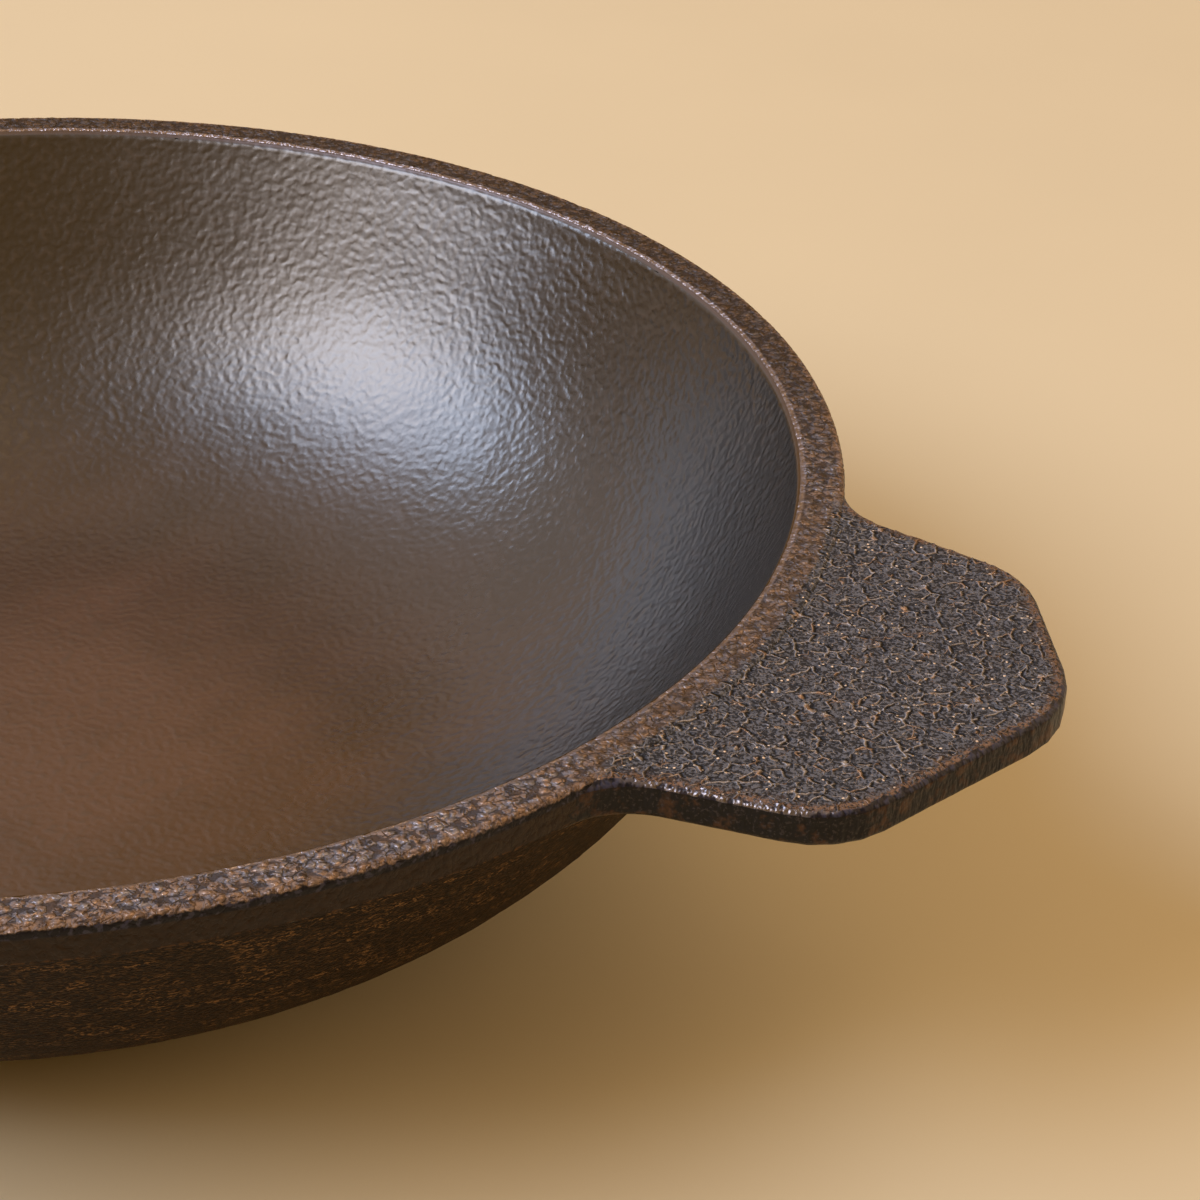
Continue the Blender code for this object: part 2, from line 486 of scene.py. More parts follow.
# %% A modifier that sinks the skin
def sink_skin(piece, depth_of):
    """Moves the points of a piece inwards by depth_of(place, normal), in millimetres."""
    tree = bpy.data.node_groups.new(piece.name + "_skin", "GeometryNodeTree")
    for way in ("INPUT", "OUTPUT"):
        tree.interface.new_socket("Geometry", in_out=way, socket_type="NodeSocketGeometry")
    wire = Wire(tree)
    came_in = wire.node("NodeGroupInput")
    place = wire.node("GeometryNodeInputPosition")
    normal = wire.node("GeometryNodeInputNormal")
    depth = depth_of(place, normal).math("MAXIMUM", 0.0)
    noted = wire.node(
        "GeometryNodeStoreNamedAttribute",
        {"data_type": "FLOAT", "domain": "POINT"},
        {"Geometry": came_in, "Name": "pit_depth", "Value": depth},
    )
    scaled = {0: normal, "Scale": depth * -MM}
    inwards = wire.node("ShaderNodeVectorMath", {"operation": "SCALE"}, scaled)
    sunk = wire.node("GeometryNodeSetPosition", values={"Geometry": noted, "Offset": inwards})
    tree.links.new(sunk.socket, tree.nodes.new("NodeGroupOutput").inputs[0])
    choose(piece)
    modifier = piece.modifiers.new("skin", "NODES")
    modifier.node_group = tree
    bpy.ops.object.modifier_apply(modifier=modifier.name)
    depths = np.zeros(len(piece.data.vertices), np.float32)
    piece.data.attributes["pit_depth"].data.foreach_get("value", depths)
    average, most = [round(float(depth), 3) for depth in (depths.mean(), depths.max())]
    print(piece.name, "sinks by", average, "mm on average and", most, "mm at most")
    print(piece.name, "has", triangles(piece), "triangles")


# %% [markdown]
# ## The rim
#
# The rim is a band 6.9 mm wide and 5.6 mm tall round the bowl's mouth. Its top edge towards the
# food is rounded a little, and its outer edge more. The underside, which the bowl's wall mostly
# hides, needs few points. The rest is closely pitted, so it gets points under half a millimetre
# apart.

# %% Rim
RIM_TURNS = 1740
RIM_GRAIN = 0.46 * MM
HIDDEN_GRAIN = 1.8 * MM
LIP_DEPTH = 1.2 * MM
RIM_ROUND = 1.0 * MM
BAND_ROUND = 0.4 * MM
wall_run = Vector((math.cos(INNER_SLOPE), math.sin(INNER_SLOPE)))
lip_foot = Vector((LIP_RADIUS, RIM_TOP)) - wall_run * LIP_DEPTH
rim_row = rounded_row(
    [
        (lip_foot.x, lip_foot.y, 0),
        (LIP_RADIUS, RIM_TOP, LIP_ROUND),
        (RIM_RADIUS, RIM_TOP, RIM_ROUND),
        (RIM_RADIUS, BAND_UNDERSIDE, BAND_ROUND),
        (RIM_RADIUS - 3.5 * MM, BAND_UNDERSIDE, 0),
        (RIM_RADIUS - 5.0 * MM, RIM_TOP - 2.5 * MM, 0),
        (lip_foot.x + 0.6 * MM, lip_foot.y, 0),
        (lip_foot.x, lip_foot.y, 0),
    ]
)


def rim_step(spot):
    return RIM_GRAIN if spot.y > BAND_UNDERSIDE + 0.2 * MM else HIDDEN_GRAIN


def rim_depth(place, normal):
    """Knobs and pits about a millimetre across."""
    knobs = place.clouds(0.9 * MM, 2.0, 0.55)
    pits = place.clouds(1.5 * MM, 1.0, 0.5).over(0.56, 0.70)
    swell = place.clouds(6.0 * MM, 1.0)
    return knobs * 0.16 + pits * 0.12 + swell * 0.12 - 0.05


rim = turned_section("rim_cast", spaced(rim_row, rim_step), RIM_TURNS)
sink_skin(rim, rim_depth)

# %% [markdown]
# ## The bowl
#
# The bowl is flat in the middle, turns through one wide curve and runs straight up to the rim, and
# its wall is thicker at the top. Its inside reaches up to the lip and covers the rim's inner side.
# Outside, a hollow curve joins the wall to the band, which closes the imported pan's gap.

# %% The bowl's section
CURVE_STEPS = 50
EASING_ROUNDS = 60
INSIDE_GRAIN = 1.5 * MM
OUTSIDE_GRAIN = 1.6 * MM
UNDERSIDE_GRAIN = 6 * MM
BAND_OVERHANG = 1.6 * MM
BAND_FILLET = 2.2 * MM
FILLET_ARM = 9 * MM


def curve_radius(run, rise, slope):
    """The radius of the curve that leads from a level flat into a straight wall of that slope."""
    steepness = math.tan(slope)
    return (run * steepness - rise) / (steepness * math.sin(slope) - 1 + math.cos(slope))


def bowl_side(height, slope, radius, top):
    """From the middle out: the flat, the curve, and the top of the straight wall."""
    turns = [slope * i / CURVE_STEPS for i in range(CURVE_STEPS + 1)]
    curve = [
        Vector((BASE_RADIUS + radius * math.sin(turn), height + radius * (1 - math.cos(turn))))
        for turn in turns
    ]
    return [Vector((0, height))] + curve + [top]


def eased(row, rounds):
    """The same row with its bends spread wider. Its ends stay where they are."""
    for _ in range(rounds):
        threes = zip(row, row[1:], row[2:])
        between = [(before + here * 2 + after) / 4 for before, here, after in threes]
        row = [row[0]] + between + [row[-1]]
    return row


def outside_step(spot):
    return OUTSIDE_GRAIN if spot.y > BOWL_UNDERSIDE + 0.1 * MM else UNDERSIDE_GRAIN


INNER_CURVE = curve_radius(LIP_RADIUS - BASE_RADIUS, RIM_TOP - FLOOR_HEIGHT, INNER_SLOPE)
lip_end = Vector((LIP_RADIUS, RIM_TOP)) - wall_run * LIP_ROUND * math.tan(INNER_SLOPE / 2)
inside_row = spaced(bowl_side(FLOOR_HEIGHT, INNER_SLOPE, INNER_CURVE, lip_end), INSIDE_GRAIN)
inside_row = eased(inside_row, EASING_ROUNDS)

outer_run = Vector((math.cos(OUTER_SLOPE), math.sin(OUTER_SLOPE)))
wall_top = Vector((RIM_RADIUS - BAND_OVERHANG, BAND_UNDERSIDE - 0.3 * MM))
OUTER_CURVE = curve_radius(wall_top.x - BASE_RADIUS, wall_top.y - BOWL_UNDERSIDE, OUTER_SLOPE)
below, beside = wall_top - outer_run * FILLET_ARM, wall_top + Vector((FILLET_ARM, 0.5 * MM))
fillet = rounded(below, wall_top, beside, BAND_FILLET)
outside_row = bowl_side(BOWL_UNDERSIDE, OUTER_SLOPE, OUTER_CURVE, fillet[0])
outside_row = spaced(outside_row, outside_step)

hidden_row = [
    lip_end + Vector((0.9 * MM, -0.05 * MM)),
    Vector((RIM_RADIUS - BAND_OVERHANG, RIM_TOP - 3.0 * MM)),
    fillet[-1] + Vector((0, 0.5 * MM)),
]
bowl_row = inside_row + hidden_row + fillet[::-1] + outside_row[::-1][1:]
print("curves", round(INNER_CURVE, 4), round(OUTER_CURVE, 4), "section", len(bowl_row), "points")

# %% [markdown]
# The mesh is coarser than the rim's, because its grain is too fine for geometry. Only the slow
# unevenness of the iron is modelled: gentle inside, where oil and use have smoothed it, and
# coarser outside. It fades out at the lip and at the foot, so that the joints stay closed.

# %% Bowl
BOWL_TURNS = 520


def bowl_depth(place, normal):
    """Inside, a gentle unevenness. Outside, the coarser skin of the sand mould."""
    inside = normal.part("Z").over(-0.1, 0.1)
    soft = place.clouds(16 * MM, 1.0) * 0.30
    sandy = place.stretched(1.0, 0.6).clouds(5 * MM, 3.0, 0.6) * 0.34
    below_lip = place.part("Z").over(RIM_TOP - 0.3 * MM, RIM_TOP - 4 * MM)
    above_foot = place.part("Z").over(BOWL_UNDERSIDE, BOWL_UNDERSIDE + 1.5 * MM)
    return inside * soft * below_lip + (1 - inside) * sandy * above_foot


bowl = turned_section("bowl_cast", bowl_row, BOWL_TURNS)
sink_skin(bowl, bowl_depth)

# %% [markdown]
# ## The foot
#
# Under the bowl is a low round pad that was ground flat, so that the pan stands still. Its side
# runs into the bowl through a small hollow curve.

# %% Foot
FOOT_TURNS = 360
FOOT_GRAIN = 0.7 * MM
PAD_TOP_GRAIN = 8 * MM
INSIDE_BOWL = 1.5 * MM  # how far the pad reaches up into the bowl's floor
foot_row = rounded_row(
    [
        (0, 0, 0),
        (FOOT_RADIUS, 0, 0.5 * MM),
        (FOOT_RADIUS, BOWL_UNDERSIDE, 0.6 * MM),
        (FOOT_RADIUS + 2.5 * MM, BOWL_UNDERSIDE + 0.03 * MM, 0),
        (FOOT_RADIUS, BOWL_UNDERSIDE + INSIDE_BOWL, 0),
        (0, BOWL_UNDERSIDE + INSIDE_BOWL, 0),
    ]
)


def foot_step(spot):
    return FOOT_GRAIN if spot.y < BOWL_UNDERSIDE else PAD_TOP_GRAIN


def foot_depth(place, normal):
    """Shallow dents under the pad, and a slight unevenness."""
    dents = place.clouds(7 * MM, 2.0).over(0.58, 0.75)
    return dents * 0.10 + place.clouds(3 * MM, 2.0) * 0.05


foot = turned_section("foot_cast", spaced(foot_row, foot_step), FOOT_TURNS)
sink_skin(foot, foot_depth)

# %% [markdown]
# ## The handles
#
# A handle is a flat plate 6 mm thick. Its sides run straight out from the rim to two rounded
# corners and a blunt tip, and a hollow curve joins each side to the rim. The outline is drawn as a
# wire, filled, pulled down by the plate's thickness and bevelled along both edges. Its inner end
# dives into the rim, so that no gap shows.

# %% Outline of a handle
ROOT_HALF_WIDTH = 40.0 * MM
CORNER = Vector((RIM_RADIUS + 24.4 * MM, 36.2 * MM))
TIP = Vector((RIM_RADIUS + 42.0 * MM, 6.2 * MM))
CORNER_ROUND = 15.0 * MM
TIP_ROUND = 18.5 * MM
ROOT_FILLET = 12.0 * MM
ROOT_STEPS = 14
DIVE_RADIUS = RIM_RADIUS - 3.4 * MM
DIVE_TURN = math.radians(3)
DIVE_STEPS = 20


def root_curve(side):
    """The hollow curve from the rim to the handle's side, on the +Y (1) or -Y (-1) side."""
    start = Vector((RIM_RADIUS, side * ROOT_HALF_WIDTH))
    way = (Vector((CORNER.x, side * CORNER.y)) - start).normalized()
    outward = Vector((-way.y, way.x)) * side
    beside = start + outward * ROOT_FILLET
    reach = RIM_RADIUS + ROOT_FILLET
    along = -beside.dot(way) + math.sqrt(beside.dot(way) ** 2 - beside.dot(beside) + reach**2)
    centre = beside + way * along
    on_rim = centre * (RIM_RADIUS / reach)
    curve = arc(centre, on_rim - centre, -outward * ROOT_FILLET, ROOT_FILLET, ROOT_STEPS)
    beyond = math.atan2(on_rim.y, on_rim.x) + side * DIVE_TURN
    dive = Vector((math.cos(beyond), math.sin(beyond))) * (RIM_RADIUS - 0.5 * MM)
    return [dive] + curve


def outer_edge():
    """The handle's free edge, from the root on the -Y side round the tip to the other root."""
    low, high = root_curve(-1), root_curve(1)
    near = Vector((CORNER.x, -CORNER.y))
    edge = low + rounded(low[-1], near, TIP, CORNER_ROUND) + rounded(near, TIP, CORNER, TIP_ROUND)
    return edge + rounded(TIP, CORNER, high[-1], CORNER_ROUND) + high[::-1]


free_edge = outer_edge()
widest = math.atan2(free_edge[-1].y, free_edge[-1].x)
dive_arc = [widest * (1 - 2 * i / DIVE_STEPS) for i in range(DIVE_STEPS + 1)]
buried_edge = [Vector((math.cos(a), math.sin(a))) * DIVE_RADIUS for a in dive_arc]
outline = free_edge + buried_edge
print("handle outline:", len(outline), "points, tip at", round(max(p.x for p in free_edge), 4))

# %% [markdown]
# A bevelled plate has a few large faces, and fine relief needs many small ones. A voxel remesh
# rebuilds the plate from small even squares. Before it the plate is an ordinary low model, which is
# easy to change.

# %% Plate of a handle
HANDLE_GRAIN = 0.3 * MM
EDGE_ROUND = 1.1 * MM
BEVEL_STEPS = 4
BEVEL_FULLNESS = 0.32  # 0.5 is a round edge, and less is flatter


def select_edges(piece, wanted):
    """Selects only the edges whose middle point is wanted, and leaves edit mode."""
    choose(piece)
    bpy.ops.object.mode_set(mode="EDIT")
    bpy.ops.mesh.select_all(action="DESELECT")
    bpy.ops.object.mode_set(mode="OBJECT")
    bpy.context.tool_settings.mesh_select_mode = (False, True, False)
    for edge in piece.data.edges:
        ends = [piece.data.vertices[i].co for i in edge.vertices]
        edge.select = wanted((ends[0] + ends[1]) / 2)


def on_a_face(middle):
    """Whether a place lies on the plate's upper or lower face."""
    return min(HANDLE_TOP - middle.z, middle.z - HANDLE_UNDERSIDE) < 0.1 * MM


up = Vector((0, 0, HANDLE_TOP))
handle = draw_wire("handle_right_cast", [spot.to_3d() + up for spot in outline])
down = {"value": (0, 0, HANDLE_UNDERSIDE - HANDLE_TOP)}
bpy.ops.object.mode_set(mode="EDIT")
bpy.ops.mesh.select_all(action="SELECT")
bpy.ops.mesh.remove_doubles(threshold=0.05 * MM)
bpy.ops.mesh.edge_face_add()
bpy.ops.mesh.extrude_region_move(TRANSFORM_OT_translate=down)
bpy.ops.object.mode_set(mode="OBJECT")
tidy_skin(handle)
select_edges(handle, on_a_face)
bpy.ops.object.mode_set(mode="EDIT")
bpy.ops.mesh.bevel(
    offset=EDGE_ROUND,
    segments=BEVEL_STEPS,
    profile=BEVEL_FULLNESS,
    affect="EDGES",
    clamp_overlap=False,
)
bpy.ops.object.mode_set(mode="OBJECT")
print("bevelled handle:", triangles(handle), "triangles")
remesh = handle.modifiers.new("even squares", "REMESH")
remesh.mode = "VOXEL"
remesh.voxel_size = HANDLE_GRAIN
bpy.ops.object.modifier_apply(modifier=remesh.name)
bpy.ops.object.shade_smooth()
print("remeshed handle:", triangles(handle), "triangles")

# %% [markdown]
# Wear follows the plate's edges, so each point is told how far it lies from the free edge. The left
# handle is a mirrored copy with its own mesh. Both are made before the skin is sunk: the pattern
# reads the place of each point, and so no two handles get the same worms.

# %% Distance from the edge, and the left handle
def note_edge(piece):
    """Keeps each point's distance from the handle's free edge, in millimetres."""
    edge = np.array([(spot.x, spot.y) for spot in free_edge])
    spots = np.zeros(len(piece.data.vertices) * 3, np.float32)
    piece.data.vertices.foreach_get("co", spots)
    spots = spots.reshape(-1, 3)[:, :2]
    nearest = np.full(len(spots), np.inf)
    for start, end in zip(edge, edge[1:]):
        run = end - start
        share = np.clip(((spots - start) @ run) / (run @ run), 0, 1)
        nearest = np.minimum(nearest, np.linalg.norm(spots - start - share[:, None] * run, axis=1))
    attribute = piece.data.attributes.new("from_edge", "FLOAT", "POINT")
    attribute.data.foreach_set("value", (nearest / MM).astype(np.float32))


note_edge(handle)
left_handle = handle.copy()
left_handle.data = handle.data.copy()
left_handle.name = "handle_left_cast"
bpy.context.collection.objects.link(left_handle)
choose(left_handle)
across_x = {"constraint_axis": (True, False, False), "orient_type": "GLOBAL"}
bpy.ops.object.mode_set(mode="EDIT")
bpy.ops.mesh.select_all(action="SELECT")
bpy.ops.transform.mirror(center_override=(0, 0, 0), **across_x)
bpy.ops.mesh.normals_make_consistent(inside=False)
bpy.ops.object.mode_set(mode="OBJECT")
left_spots = [vertex.co.x for vertex in left_handle.data.vertices]
print("left handle spans x", round(min(left_spots), 4), round(max(left_spots), 4))

# %% [markdown]
# The top of a handle carries the strongest relief: thin raised worms a few millimetres long with
# hollows between them. The worms fade in beyond the rim, because a plate that sinks where the rim
# does not would leave a ditch. The finish further below draws its lines along the same cells.

# %% Relief of the handles
WORM_CELL = 3.2 * MM
WORM_WIDTH = 0.55 * MM


def from_axis(place):
    """How far a wired place is from the pan's axis, in metres."""
    return (place.part("X") ** 2.0 + place.part("Y") ** 2.0) ** 0.5


def handle_depth(place, normal):
    """Worm-like ridges with hollows between them."""
    ridges = place.seams(WORM_CELL, WORM_WIDTH) * place.clouds(2.1 * MM, 1.0).over(0.43, 0.52)
    hollows = place.clouds(2.2 * MM, 2.0, 0.55)
    swell = place.clouds(9 * MM, 1.0)
    top = normal.part("Z").over(0.6, 0.9)
    beyond_rim = from_axis(place).over(RIM_RADIUS - 0.5 * MM, RIM_RADIUS + 4 * MM)
    relief = hollows * 0.24 + 0.10 - ridges * 0.20
    return swell * 0.10 + hollows * 0.10 + relief * top * beyond_rim + 0.02


for piece in (handle, left_handle):
    sink_skin(piece, handle_depth)

# %% [markdown]
# ## The finish inside the bowl
#
# Oil baked on in use has filled the casting's pores inside, which leaves a dark, soft gloss like
# leather. Its grain is a little over a millimetre across and shows mostly as a wrinkling of the
# reflection, so it is bump. The middle has worn browner and the left side duller, where ladles rub,
# and the lip is rubbed to bare iron.

# %% Inside finish
BAKED_BLACK = (0.0095, 0.0085, 0.007)
RUBBED_BROWN = (0.105, 0.055, 0.035)
GRAIN_BROWN = (0.060, 0.045, 0.036)
BARE_LIP = (0.300, 0.265, 0.275)


def inside_finish():
    material, shader, place = new_finish("seasoned_inside", 0.90, 1.75)
    grain = place.clouds(1.3 * MM, 0.4, 0.4, 0.2)
    fine = place.clouds(0.70 * MM, 1.0, 0.5)
    patches = place.clouds(45 * MM, 2.0, 0.5)
    blotches = place.clouds(16 * MM, 3.0, 0.55)
    middle = (from_axis(place) + patches * 60 * MM).over(140 * MM, 40 * MM)
    rubbed = place.part("X").over(65 * MM, 5 * MM)
    lip = place.part("Z").over(RIM_TOP - 1.1 * MM, RIM_TOP - 0.6 * MM)
    colour = blended(middle * (blotches * 0.9 + 0.55), BAKED_BLACK, RUBBED_BROWN)
    colour = blended(grain.over(0.50, 0.80) * 0.4, colour, GRAIN_BROWN)
    colour = blended(lip * 0.8, colour, BARE_LIP)
    roughness = 0.21 + grain * 0.04 + rubbed * 0.12 + blotches * 0.04
    height = (grain * 0.16 + fine * (1 - rubbed) * 0.03) * (1 - rubbed * 0.2) * (1 - lip * 0.7)
    lay_on(shader, colour, roughness, height, lip)
    return material


inside_skin = inside_finish()
print("inside finish:", len(inside_skin.node_tree.nodes), "nodes")

# %% [markdown]
# ## The finish outside
#
# Outside, the skin stays as the mould left it: matt, dark brown, finely wrinkled along the pan's
# turn, with rust-coloured threads in patches where the seasoning is thin. All its patterns are
# wider than they are tall, so that they lie along the wall.

# %% Outside finish
WRINKLE_DARK = (0.004, 0.0025, 0.0014)
WRINKLE_LIGHT = (0.021, 0.012, 0.006)
DUSTY_BROWN = (0.044, 0.026, 0.012)
THREAD_RUST = (0.25, 0.135, 0.055)


def outside_finish():
    material, shader, place = new_finish("sandy_outside", 0.08)
    lying = place.stretched(1.0, 0.5)
    wrinkles = lying.clouds(1.0 * MM, 2.0, 0.6, 0.5)
    fine = lying.clouds(0.5 * MM, 1.0, 0.5)
    thin = place.stretched(1.0, 0.35).clouds(9 * MM, 3.0, 0.6).over(0.47, 0.64)
    threads = lying.strokes(1.15 * MM, 0.24) * lying.clouds(0.9 * MM, 1.0).over(0.48, 0.52)
    threads = threads * (thin * 0.8 + 0.2)
    colour = blended(wrinkles.over(0.35, 0.65), WRINKLE_DARK, WRINKLE_LIGHT)
    colour = blended(fine.over(0.52, 0.70) * 0.5, colour, DUSTY_BROWN)
    colour = blended(threads * 0.9, colour, THREAD_RUST)
    height = wrinkles * 0.34 + fine * 0.14 + threads * 0.12
    lay_on(shader, colour, 0.5 + wrinkles * 0.2, height)
    return material


outside_skin = outside_finish()
print("outside finish:", len(outside_skin.node_tree.nodes), "nodes")

# %% [markdown]
# ## Two skins that meet at the handles
#
# Ladles and lids rub the rim, so its top is a lighter, warmer brown, with dark pits and cracks that
# the rubbing never reaches. Its knob tops carry a painted blue-grey highlight, and its hollows and
# the gaps between knobs carry painted shade. A handle's top keeps its charcoal ground, painted
# lighter on the rises of its fine grain. It is covered with fine raised worms whose tops are
# polished by hands and cloths and lightened as a painted highlight. A painted shadow lies beside
# each worm, on the side away from the softboxes, and small dots are painted glints. The two skins
# meet on the rim beside a handle, so each is a function that gives its height in millimetres, its
# colour and its share of bare iron.

# %% Skins of the rim's top and the handle's top
RIM_GREY, RIM_BROWN = (0.210, 0.205, 0.240), (0.290, 0.215, 0.180)
KNOB_HIGHLIGHT_GREY, KNOB_BROWN = (0.460, 0.455, 0.520), (0.56, 0.42, 0.34)
HOLLOW_SHADE_GREY, PIT_AND_SHADE_BLACK = (0.050, 0.045, 0.052), (0.020, 0.018, 0.022)
CHARCOAL_DARK, CHARCOAL_LIGHT = (0.024, 0.028, 0.037), (0.142, 0.155, 0.188)
WORN_BROWN, PAINTED_SHADOW_BLACK = (0.105, 0.072, 0.052), (0.002, 0.002, 0.003)
CREST_GREY, CREST_BROWN = (0.54, 0.53, 0.56), (0.58, 0.42, 0.32)
PAINTED_GLINT = (1.0, 0.82, 0.64)
# The painted shadow beside each worm lies this far from it, on the side away from the softboxes.
PAINTED_SHADOW_STEP = direction(51, 0) * -0.40 * MM
OTHER_CURLS = (0.05, 0.02, 0)  # far enough away for the curls not to follow the worms


def rim_skin(place):
    """The rubbed skin of the rim's top."""
    wavy = place.moved(place.clouds(1.5 * MM, 2.0) * 1.8 * MM)
    knobs = wavy.grains(1.35 * MM).over(0.80, 0.10)
    fine = place.clouds(0.45 * MM, 1.0, 0.5)
    tint = place.clouds(1.6 * MM, 2.0, 0.6)
    pits = place.clouds(2.0 * MM, 2.0, 0.6).over(0.59, 0.63)
    cracks = place.seams(2.6 * MM, 0.20 * MM) * place.clouds(2.2 * MM, 1.0).over(0.46, 0.52)
    # Dark in pits and cracks, and painted shade in the gaps between knobs.
    pits_and_gap_shade = pits.math("MAXIMUM", cracks).math("MAXIMUM", knobs.over(0.16, 0.02))
    # Knob tops are rubbed iron with a painted blue-grey highlight.
    tops = blended(tint.over(0.46, 0.54), KNOB_HIGHLIGHT_GREY, KNOB_BROWN)
    colour = blended(tint.over(0.42, 0.58), RIM_GREY, RIM_BROWN)
    colour = blended(knobs.over(0.45, 0.85) * 0.8, colour, tops)
    # Darker in the fine grain's hollows: painted shade.
    colour = blended(fine.over(0.48, 0.36) * 0.45, colour, HOLLOW_SHADE_GREY)
    colour = blended(pits_and_gap_shade * 0.75, colour, PIT_AND_SHADE_BLACK)
    height = knobs * 0.62 + fine * 0.18 - pits_and_gap_shade * 0.25
    return height, colour, knobs.over(0.3, 0.8) * 0.6


def charcoal_skin(place):
    """The skin on top of the handles."""
    fine = place.clouds(0.46 * MM, 1.0, 0.6, 0.3)
    tint = place.clouds(2.6 * MM, 2.0, 0.6)
    # The second pattern is a painted shadow beside each worm.
    worms, shadows = [
        spot.seams(WORM_CELL, width) * spot.clouds(1.8 * MM, 1.0).over(0.47, 0.51)
        for spot, width in ((place, 0.30 * MM), (place.moved(PAINTED_SHADOW_STEP), 0.60 * MM))
    ]
    curls = place.moved(OTHER_CURLS).seams(1.7 * MM, 0.16 * MM)
    curls = curls * place.clouds(1.4 * MM, 1.0).over(0.50, 0.54)
    # Small bright dots are painted glints.
    painted_glints = place.grains(1.25 * MM).over(0.21, 0.13) * place.clouds(2.0 * MM, 2.0).over(0.50, 0.56)
    # Worm tops are worn, and also lightened as a painted highlight.
    crests = blended(tint.over(0.52, 0.64), CREST_GREY, CREST_BROWN)
    # Lighter on the rises of the fine grain and darker in its hollows: painted shade.
    colour = blended(fine.over(0.42, 0.62), CHARCOAL_DARK, CHARCOAL_LIGHT)
    colour = blended(tint.over(0.60, 0.72) * 0.3, colour, WORN_BROWN)
    colour = blended(shadows * 0.95, colour, PAINTED_SHADOW_BLACK)
    colour = blended(worms.math("MAXIMUM", curls * 0.7), colour, crests)
    colour = blended(painted_glints, colour, PAINTED_GLINT)
    height = worms * 0.55 + curls * 0.28 + fine * 0.30 - shadows * 0.34 + painted_glints * 0.2
    return height, colour, (worms + curls * 0.5) * (1 - painted_glints) * 0.4


print("worms lie", WORM_CELL, "m apart, and each lee", round(PAINTED_SHADOW_STEP.length, 5), "m beside one")

# %% [markdown]
# ## The finish of the rim
#
# The rim's outer side is as dark as the wall. Where it meets the top, the wear breaks up into
# orange-brown bits with navy scale under them, and a rough line of rust and painted highlight runs
# along the band's foot.
# Masks choose between these by height, radius and nearness to a handle. Where a border would be
# too clean a line, a ragged pattern is added to the place before it is compared.

# %% Rim finish
BAND_DARK, BAND_BROWN = (0.008, 0.005, 0.0025), (0.036, 0.020, 0.009)
FOOT_DARK, FOOT_RUST_AND_SHEEN = (0.012, 0.007, 0.003), (0.115, 0.056, 0.021)
NAVY_DARK, NAVY_LIGHT = (0.004, 0.004, 0.008), (0.040, 0.041, 0.070)
RING_DARK, RING_LIGHT = (0.050, 0.036, 0.028), (0.190, 0.130, 0.092)
TAN_DARK, TAN_LIGHT = (0.080, 0.055, 0.045), (0.36, 0.245, 0.175)
FAR_SIDE_DARK = (0.034, 0.023, 0.018)
RUBBED_LIP = (0.46, 0.41, 0.43)


def by_handle(place):
    """1 where a handle joins the rim, and 0 along the free parts of the rim's edge."""
    return abs(place.part("Y")).over(ROOT_HALF_WIDTH + 4 * MM, ROOT_HALF_WIDTH - 2 * MM)


def brown_ring(place):
    """1 on the rim's brown ring, and 0 where the charcoal skin of a handle begins."""
    ragged = place.clouds(1.8 * MM, 2.0, 0.6) * 3.0 * MM - 1.5 * MM
    return (from_axis(place) + ragged).over(RIM_RADIUS - 1.5 * MM, RIM_RADIUS - 2.2 * MM)


def band_colour(height_up, grain, flecks, foot_line):
    """The rim's upright outer side: dark brown, navy under the edge, rust and a painted highlight
    along its foot.
    """
    side = blended(grain, BAND_DARK, BAND_BROWN)
    # Along the foot: rust, with a painted highlight on its edge.
    side = blended(foot_line * 0.7, side, blended(grain.over(0.45, 0.60), FOOT_DARK, FOOT_RUST_AND_SHEEN))
    under_edge = height_up.over(RIM_TOP - 1.9 * MM, RIM_TOP - 1.5 * MM)
    return blended(under_edge * 0.9, side, blended(flecks.over(0.50, 0.64), NAVY_DARK, NAVY_LIGHT))


